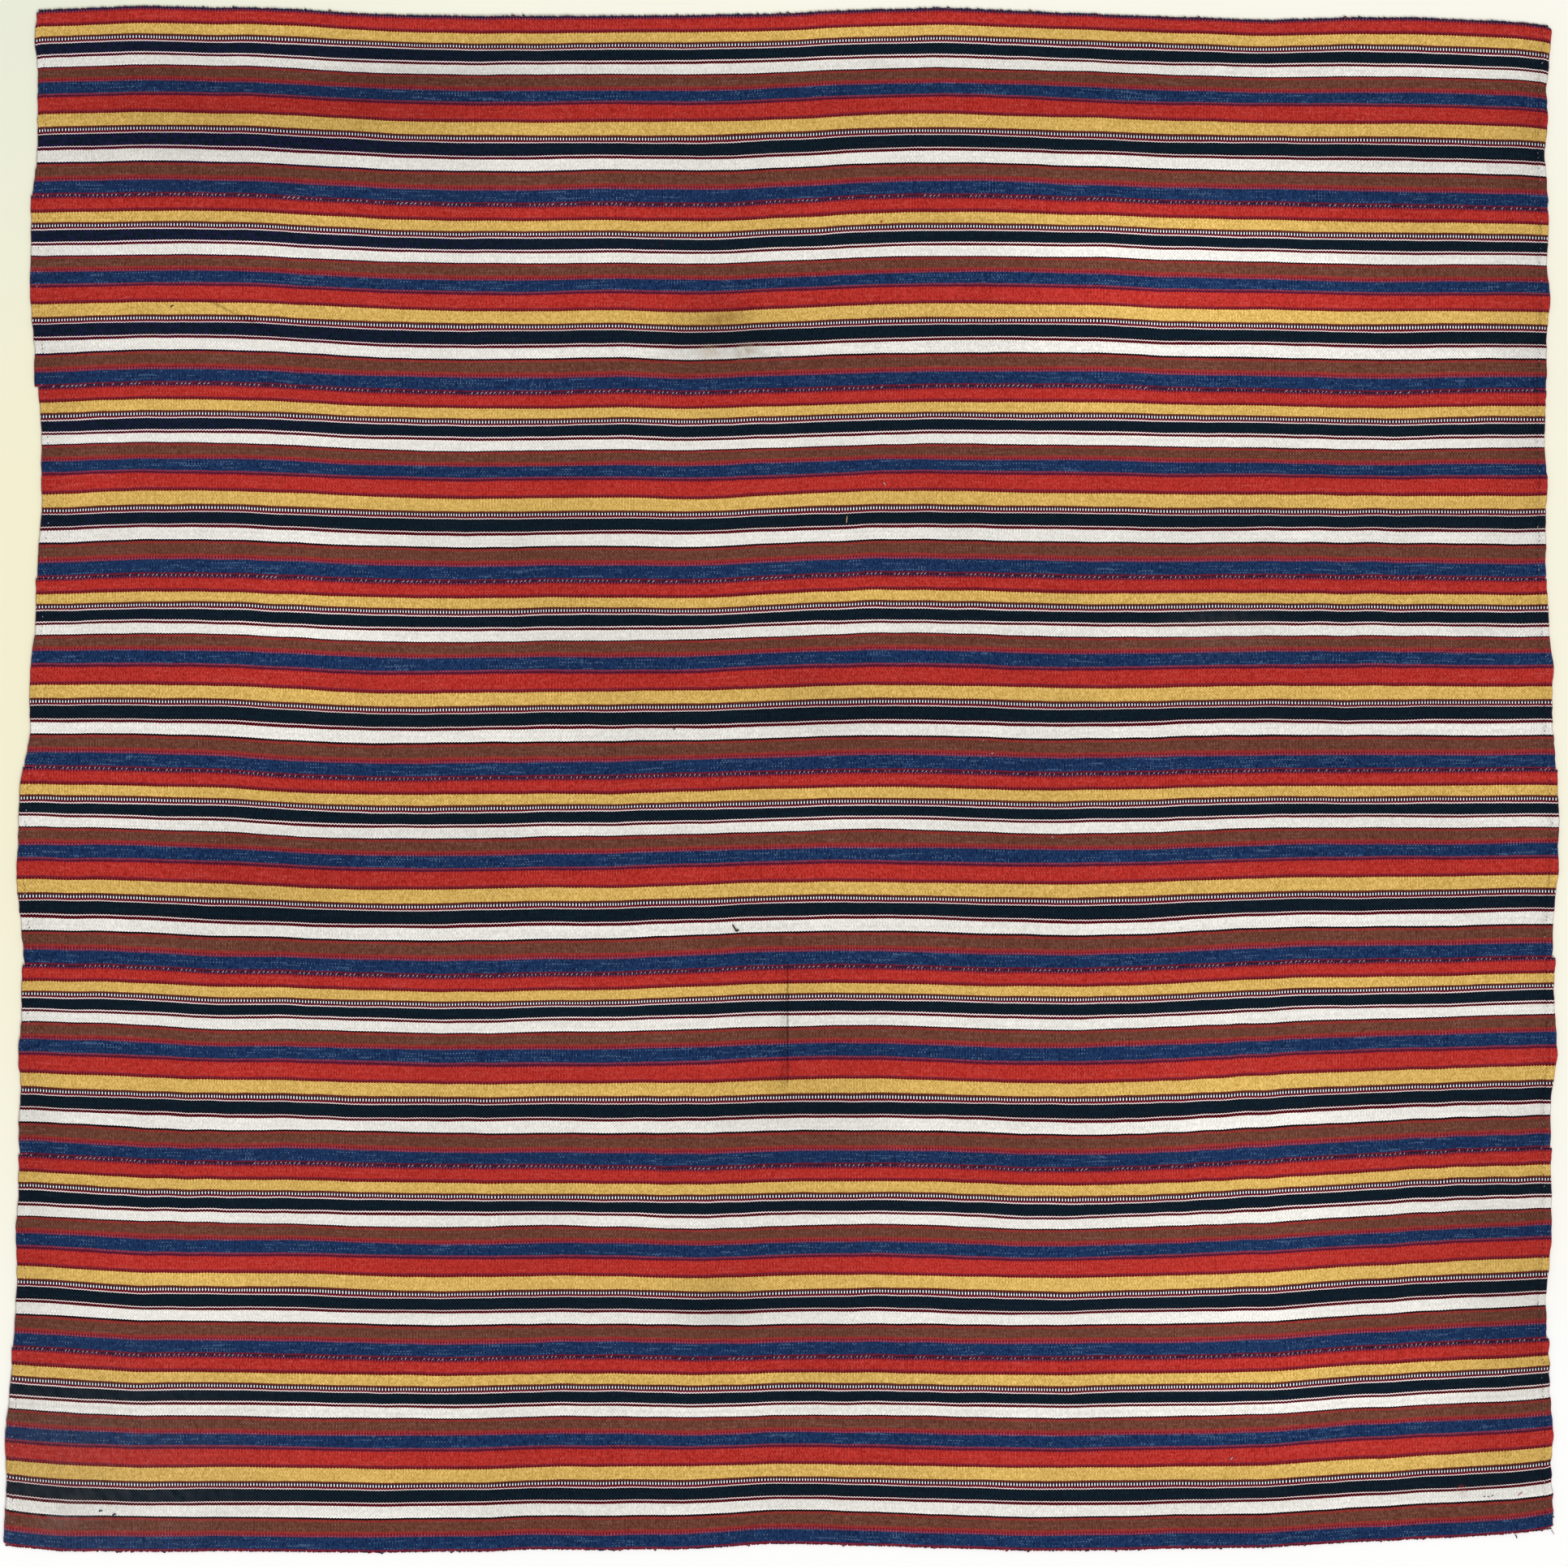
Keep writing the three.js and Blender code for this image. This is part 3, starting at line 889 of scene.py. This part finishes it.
def build_band(number, wool):
    """One woven band with its hemmed ends, as a thin closed sheet."""
    x, y, inset, edge_distance, down = band_grid(number)
    upper, lower = band_heights(number, x, y, inset, edge_distance, down)
    columns, rows = x.shape
    points = [np.stack([x, y, z], -1).reshape(-1, 3) for z in (upper, lower)]
    faces = grid_faces(columns, rows).tolist()
    piece = new_piece(f"woven_band_{number}", np.concatenate(points), faces, [wool])
    starts = (0, *STRIPE_PLACES[number - 1], WARPS)
    warps = np.interp(down * WARPS, starts, (0, *CHART_PLACES, WARPS))
    tone, purple, dirt, stain = band_traits(number, x, y, inset)
    set_attribute(piece.data, "weave", np.stack([x, warps, np.full_like(x, number)], -1))
    set_attribute(piece.data, "tone", np.stack([tone, purple, dirt], -1))
    set_attribute(piece.data, "stain", stain)
    bake_map(piece.data, columns, rows)
    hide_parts(f"panel_{number}")
    return piece


# Sewing


def tubes(paths, radius, sides):
    """Points and quads of many short tubes. paths is stitches by steps by 3."""
    count, steps, _ = paths.shape
    ahead = np.gradient(paths, axis=1)
    ahead /= np.maximum(np.linalg.norm(ahead, axis=2, keepdims=True), 1e-9)
    across = np.cross(ahead, [0.0, 0.0, 1.0])
    across /= np.maximum(np.linalg.norm(across, axis=2, keepdims=True), 1e-9)
    upward = np.cross(across, ahead)
    turn = np.arange(sides) * 2 * np.pi / sides
    taper = np.sin(np.linspace(0.12, 0.88, steps) * np.pi) ** 0.5
    size = radius * taper
    ring = across[:, :, None] * np.cos(turn)[:, None] + upward[:, :, None] * np.sin(turn)[:, None]
    points = (paths[:, :, None] + ring * size[:, None, None]).reshape(-1, 3)
    at = np.arange(count * steps * sides).reshape(count, steps, sides)
    turned = np.roll(at, -1, axis=2)
    walls = np.stack([at[:, :-1], turned[:, :-1], turned[:, 1:], at[:, 1:]], -1).reshape(-1, 4)
    return points, walls, at


def tube_piece(name, groups, sides=5):
    """One object of many short closed tubes. groups is a list of (paths, radius, material)."""
    all_points, all_faces, materials, indices = [], [], [], []
    offset = 0
    for index, (paths, radius, material) in enumerate(groups):
        points, walls, at = tubes(paths, radius, sides)
        caps = [at[:, 0, ::-1].reshape(-1, sides), at[:, -1].reshape(-1, sides)]
        faces = (walls + offset).tolist() + (np.concatenate(caps) + offset).tolist()
        all_points.append(points)
        all_faces += faces
        materials.append(material)
        indices += [index] * len(faces)
        offset += len(points)
    piece = new_piece(name, np.concatenate(all_points), all_faces, materials)
    piece.data.polygons.foreach_set("material_index", indices)
    piece.data.update()
    return piece


# Seams: overcast plies, pale, navy and crimson, that slant from band to band over a plum thread
STITCH_PITCH = 5.6
STITCH_RADIUS = 0.55
STITCH_REACH = 1.15
STITCH_LEAN = 2.0
STITCH_HEIGHT = 0.3
STITCH_LIFT = 0.45
STITCH_JITTER = 0.9
PALE_SHARE = 0.8
NAVY_SHARE = 0.5
CRIMSON_FULLNESS = 1.2
JOIN_RADIUS = 0.85
JOIN_STEP = 5.0
SEAM_MARGIN = 2.5


def arched(start, end, lift, steps=4):
    """Paths that rise by lift between start and end, as a stitch does over cloth."""
    t = np.linspace(0, 1, steps)[None, :, None]
    paths = start[:, None] + (end - start)[:, None] * t
    paths[:, :, 2] += lift * np.sin(np.pi * t[:, :, 0])
    return paths


def seam_span(number):
    """Where a seam starts and stops: as far as the shorter of its two bands at each end."""
    left = max(end_line(number, "left", 1.0), end_line(number + 1, "left", 0.0))
    right = min(end_line(number, "right", 1.0), end_line(number + 1, "right", 0.0))
    return left + SEAM_MARGIN, right - SEAM_MARGIN


def seam_stitches(number, threads):
    """The overcast stitches of one seam."""
    random = np.random.default_rng(500 + number)
    left, right = seam_span(number)
    x = np.arange(left, right - 4, STITCH_PITCH)
    x = x + random.uniform(-STITCH_JITTER, STITCH_JITTER, len(x))
    lean = STITCH_LEAN * (0.85 + 0.35 * soft_noise(x, 0.0, 60, 600 + number))
    reach = STITCH_REACH * random.uniform(0.65, 1.15, (2, len(x)))

    def stitch_ends(shift):
        y = edge_line(number, x + shift)
        z = seam_height(x, y) + cloth_relief(x + shift, y, 0.0) + STITCH_HEIGHT
        low = np.stack([x + shift - lean / 2, y - reach[0], z], -1)
        high = np.stack([x + shift + lean / 2, y + reach[1], z], -1)
        return arched(low, high, STITCH_LIFT)

    showing = soft_noise(x, 0.0, 38, 700 + number)
    pale = (showing > -1.3) & (random.random(len(x)) < PALE_SHARE)
    navy = random.random(len(x)) < NAVY_SHARE
    first, second, third = (stitch_ends(STITCH_PITCH * share) for share in (0.0, 0.33, 0.66))
    groups = [
        (first[pale], STITCH_RADIUS, threads["pale"]),
        (first[~pale], STITCH_RADIUS, threads["plum"]),
        (second, STITCH_RADIUS, threads["navy"]),
        (third[navy], STITCH_RADIUS, threads["navy"]),
        (third[~navy], STITCH_RADIUS * CRIMSON_FULLNESS, threads["crimson"]),
    ]
    return tube_piece(f"seam_stitches_{number}", groups)


def seam_join(number, threads):
    """The thread that lies in the groove between two bands."""
    left, right = seam_span(number)
    x = np.linspace(left, right, int((right - left) / JOIN_STEP))
    y = edge_line(number, x)
    z = cloth_lift(x, y) + JOIN_RADIUS + 0.1 + 0.1 * soft_noise(x, 0.0, 9, 650 + number)
    path = np.stack([x, y, z], -1)[None]
    return tube_piece(f"seam_join_{number}", [(path, JOIN_RADIUS, threads["plum"])], sides=6)


# Selvedge loops along the rug's two long edges, and small stitches along the hems, with the threads
# that they take: thread, least and greatest pick from 0 to 1
TOP_SHARES = [("navy", 0.0, 0.55), ("plum", 0.55, 1.0)]
BOTTOM_SHARES = [("crimson", 0.0, 0.6), ("plum", 0.6, 0.93), ("navy", 0.93, 1.0)]
HEM_SHARES = [("pale", 0.0, 0.1), ("navy", 0.3, 0.6), ("plum", 0.6, 0.8)]
LOOP_PITCH = 3.4
LOOP_REACH = 1.2
LOOP_RADIUS = 1.0
LOOP_MARGIN = 4.0
LOOP_JITTER = 0.7
LOOP_HALF_WIDTHS = (1.1, 1.9)
TUFT_SHARE = 0.08
TUFT_LENGTH = 2.0
HEM_STITCH_COUNT = 52
HEM_STITCH_LENGTH = 2.2
HEM_STITCH_RADIUS = 0.36


def shared_out(paths, pick, radius, threads, shares):
    """Groups of tubes by thread, for rows of thread, least pick and greatest pick."""
    return [
        (paths[(pick >= least) & (pick < most)], radius, threads[thread])
        for thread, least, most in shares
    ]


def edge_loops(name, edge, outward, threads, shares):
    """Turns of weft that stand out past a long edge of the rug."""
    random = np.random.default_rng(800 + edge)
    band, corner = (1, 0.0) if edge == 0 else (BANDS[-1], 1.0)
    left, right = (end_line(band, side, corner) for side in ("left", "right"))
    x = np.arange(left + LOOP_MARGIN, right - LOOP_MARGIN, LOOP_PITCH)
    x = x + random.uniform(-LOOP_JITTER, LOOP_JITTER, len(x))
    tuft = random.random(len(x)) < TUFT_SHARE
    out = LOOP_REACH * random.uniform(0.3, 1.15, len(x)) * np.where(tuft, TUFT_LENGTH, 1.0)
    half = random.uniform(*LOOP_HALF_WIDTHS, len(x))
    arc = np.linspace(0, np.pi, 5)
    px = x[:, None] - half[:, None] * np.cos(arc)
    py = edge_line(edge, px) + outward * (out[:, None] * np.sin(arc) - 0.5)
    pz = cloth_lift(px, py) + 1.0 + random.uniform(-0.15, 0.25, len(x))[:, None]
    pick = random.random(len(x))
    paths = np.stack([px, py, pz], -1)
    return tube_piece(name, shared_out(paths, pick, LOOP_RADIUS, threads, shares))


def hem_stitches(side, threads):
    """Small uneven stitches that hold the turned hems of all the bands at one end of the rug."""
    random = np.random.default_rng(900 + (side == "right"))
    inward = 1 if side == "left" else -1
    starts, ends = [], []
    count = HEM_STITCH_COUNT
    for number in BANDS:
        down = (np.arange(count) + 0.5 + random.uniform(-0.3, 0.3, count)) / count
        x = end_line(number, side, down) + inward * (HEM_WIDTH + random.uniform(-0.8, 1.2, count))
        top, bottom = edge_line(number - 1, x), edge_line(number, x)
        y = top + (bottom - top) * down
        z = cloth_lift(x, y) + HEM_THICKNESS - 0.15
        length = HEM_STITCH_LENGTH * random.uniform(0.4, 1.1, count)
        skew = random.uniform(-0.6, 0.9, count)
        starts.append(np.stack([x - skew, y - length / 2, z], -1))
        ends.append(np.stack([x + skew, y + length / 2, z], -1))
    paths = arched(np.concatenate(starts), np.concatenate(ends), 0.3)
    pick = random.random(len(paths))
    groups = shared_out(paths, pick, HEM_STITCH_RADIUS, threads, HEM_SHARES)
    return tube_piece(f"{side}_hem_stitches", groups)


# Loose ends of yarn on the rug: name, x, y, length, turn, bend, thread, radius
LOOSE_ENDS = [
    ("brown_tuft", -57.8, -182.6, 8.5, -60, 0.1, "brown", 1.1),
    ("brown_tuft_hook", -54.4, -185.6, 4.5, 18, -0.6, "brown", 1.3),
    ("brown_bit", -131, 63, 5, 70, 0.4, "brown", 0.8),
    ("cream_strand", 81, 320, 9, 84, 0.12, "cream", 0.6),
    ("cream_bit", 127, 364, 5, -50, 0.2, "pale", 0.55),
    ("red_knot", 124, 686, 3, 60, 0.6, "red", 0.9),
    ("pale_speck_1", 260, 32, 3, 10, 0.3, "pale", 0.6),
    ("pale_speck_2", 334, -71, 4, 120, 0.3, "pale", 0.45),
    ("pale_speck_3", 249, 48, 2, 0, 0.2, "pale", 0.5),
    ("dark_hair", 808, 151, 88, 21, 0.12, "navy", 0.22),
    ("dark_knot_1", -750, 582, 4, 30, 0.8, "brown", 0.8),
    ("dark_knot_2", 421, 667, 4, 100, 0.8, "brown", 0.8),
    ("dark_knot_3", -147, 657, 4, 10, 0.8, "brown", 0.8),
    ("pale_knot", 555, -836, 4, 50, 0.6, "pale", 0.8),
    ("red_strand_1", 837, -870.5, 8, 18, 0.5, "crimson", 0.55),
    ("red_strand_2", 842, -875, 6, -35, 0.7, "crimson", 0.5),
    ("red_strand_3", 833, -873, 5, 60, 0.5, "rose", 0.45),
    ("rose_strand", 910, -880, 7, 38, 0.2, "rose", 0.6),
    ("dark_stitch_1", 866, -883, 3, 20, 0.5, "navy", 0.45),
    ("dark_stitch_2", 871, -883.5, 3, -10, 0.5, "navy", 0.45),
    ("dark_stitch_3", 876, -882, 3, 30, 0.5, "navy", 0.45),
    ("navy_knot_1", -838, -901, 4.5, 10, 0.6, "navy", 0.8),
    ("navy_knot_2", -821, -905.5, 5, 20, 0.6, "navy", 0.9),
    ("corner_tuft", 950, -927, 6, -60, 0.3, "pale", 0.8),
    ("edge_tuft", 905, -932, 5, -70, 0.2, "navy", 0.8),
    ("side_tuft", 950, -908, 4, 10, 0.2, "navy", 0.9),
]


def loose_ends(threads):
    """Short bent strands that lie on the cloth."""
    groups = []
    for _, at_x, at_y, length, turn, bend, thread, radius in LOOSE_ENDS:
        t = np.linspace(-0.5, 0.5, 7)
        c, s = math.cos(math.radians(turn)), math.sin(math.radians(turn))
        along, across = t * length, bend * length * (0.25 - t**2)
        x = at_x + along * c - across * s
        y = at_y + along * s + across * c
        z = cloth_lift(x, y) + CLOTH_THICKNESS + radius * 0.6
        groups.append((np.stack([x, y, z], -1)[None], radius, threads[thread]))
    return tube_piece("loose_ends", groups, sides=6)


# Surroundings

# Floor colours: warmer and darker where painted as shaded, paler where painted as lit, and a painted
# shadow in the upper left corner
FLOOR_SHADED_WARM = (242, 237, 206)
FLOOR_LIT_COOL = (252, 252, 251)
FLOOR_CORNER_SHADOW = (231, 234, 215)
FLOOR_DEPTH = 0.0004
FLOOR_REACH = 15.0
LIGHT_TILT = 50
LIGHT_TURN = 24
LIGHT_SOFTNESS = 28
LIGHT_STRENGTH = 1.95
SURROUND_STRENGTH = 0.62
CAMERA_HEIGHT = 3.4
PHOTO_WIDTH_MM = 1932.0
SENSOR_WIDTH = 36.0
PHOTO_CENTRE = (3.5, -4.5)


def build_floor():
    """Pale floor with painted falloff of light, darker and warmer towards the left, and a greener, darker
    painted shadow in its upper left corner.
    """
    g = Graph("pale_floor")
    x, y, _ = g.split(g.node("TexCoord").outputs["Object"])
    cloud = g.noise(x * 1.5, y * 1.5, 0.0, detail=3.0)
    shade = 0.985 + cloud * 0.03
    # Painted falloff of the light: darker and warmer towards the left
    painted_floor_light = g.sum("ADD", x * 0.15 - y * 0.35 + y * y * 0.7, 0.2, clamp=True)
    paint = g.mix(painted_floor_light, linear(FLOOR_SHADED_WARM), linear(FLOOR_LIT_COOL))
    # Painted shadow in the upper left corner
    corner = 1 - g.step(x - y, -2.0, -1.2)
    paint = g.mix(corner, paint, linear(FLOOR_CORNER_SHADOW))
    g.surface(Base_Color=g.shaded(paint, shade), Roughness=0.75 + cloud * 0.1, Specular_IOR_Level=0.05)
    corners = [(-1, -1), (1, -1), (1, 1), (-1, 1)]
    points = [(cx * FLOOR_REACH, cy * FLOOR_REACH, -FLOOR_DEPTH) for cx, cy in corners]
    mesh = bpy.data.meshes.new("floor")
    mesh.from_pydata(points, [], [(0, 1, 2, 3)])
    mesh.materials.append(g.material)
    new_object("floor", mesh)


def build_light():
    """One very soft light from the lower right, over an even pale surrounding."""
    world = bpy.data.worlds.new("studio")
    world.use_nodes = True
    background = world.node_tree.nodes["Background"]
    background.inputs["Color"].default_value = (1.0, 1.0, 1.0, 1.0)
    background.inputs["Strength"].default_value = SURROUND_STRENGTH
    bpy.context.scene.world = world
    light = bpy.data.lights.new("soft_key", "SUN")
    light.angle = math.radians(LIGHT_SOFTNESS)
    light.energy = LIGHT_STRENGTH
    key = new_object("soft_key", light)
    key.location = (1.6, -2.9, 2.6)
    key.rotation_euler = (math.radians(LIGHT_TILT), 0.0, math.radians(LIGHT_TURN))


def build_camera():
    """Camera straight above the photograph's centre, framing the photograph's width on the floor."""
    lens = bpy.data.cameras.new("overhead")
    lens.sensor_width = SENSOR_WIDTH
    lens.lens = SENSOR_WIDTH * CAMERA_HEIGHT / (PHOTO_WIDTH_MM * MM)
    lens.clip_end = 60.0
    camera = new_object("overhead", lens)
    over = (np.array([*PHOTO_CENTRE, 0.0]) - MIDDLE) * MM
    camera.location = (over[0], over[1], CAMERA_HEIGHT)
    bpy.context.scene.camera = camera


THREAD_COLOURS = {
    "pale": (190, 168, 178),
    "cream": (196, 164, 124),
    "navy": (32, 32, 64),
    "plum": (74, 26, 50),
    "crimson": (122, 34, 50),
    "brown": (60, 30, 27),
    "red": (176, 40, 36),
    "rose": (196, 118, 120),
}


def build_rug():
    """All the pieces of the rug, and each band's flat width and length."""
    wool = woven_material()
    threads = {name: thread_material(f"{name}_thread", c) for name, c in THREAD_COLOURS.items()}
    bands = [build_band(number, wool) for number in BANDS]
    sewn_on = {number: [] for number in BANDS}
    for number in BANDS[:-1]:
        sewn_on[number] += [seam_stitches(number, threads), seam_join(number, threads)]
    sewn_on[1].append(edge_loops("top_edge_loops", 0, 1, threads, TOP_SHARES))
    sewn_on[8].append(edge_loops("bottom_edge_loops", 8, -1, threads, BOTTOM_SHARES))
    sewn_on[1] += [hem_stitches(side, threads) for side in ("left", "right")]
    sewn_on[4].append(loose_ends(threads))
    for number, band in zip(BANDS, bands):
        left, right = (BAND_ENDS[side][number - 1] for side in ("left", "right"))
        length = (sum(right) - sum(left)) / 3 + 2 * HEM_WIDTH
        upper, lower = LONG_EDGES[number - 1][1], LONG_EDGES[number][1]
        width = np.mean(np.subtract(upper, lower))
        flat = (float(width) * MM, length * MM)


build_camera()
build_floor()
build_light()
build_rug()
bpy.context.scene.view_settings.view_transform = "Standard"
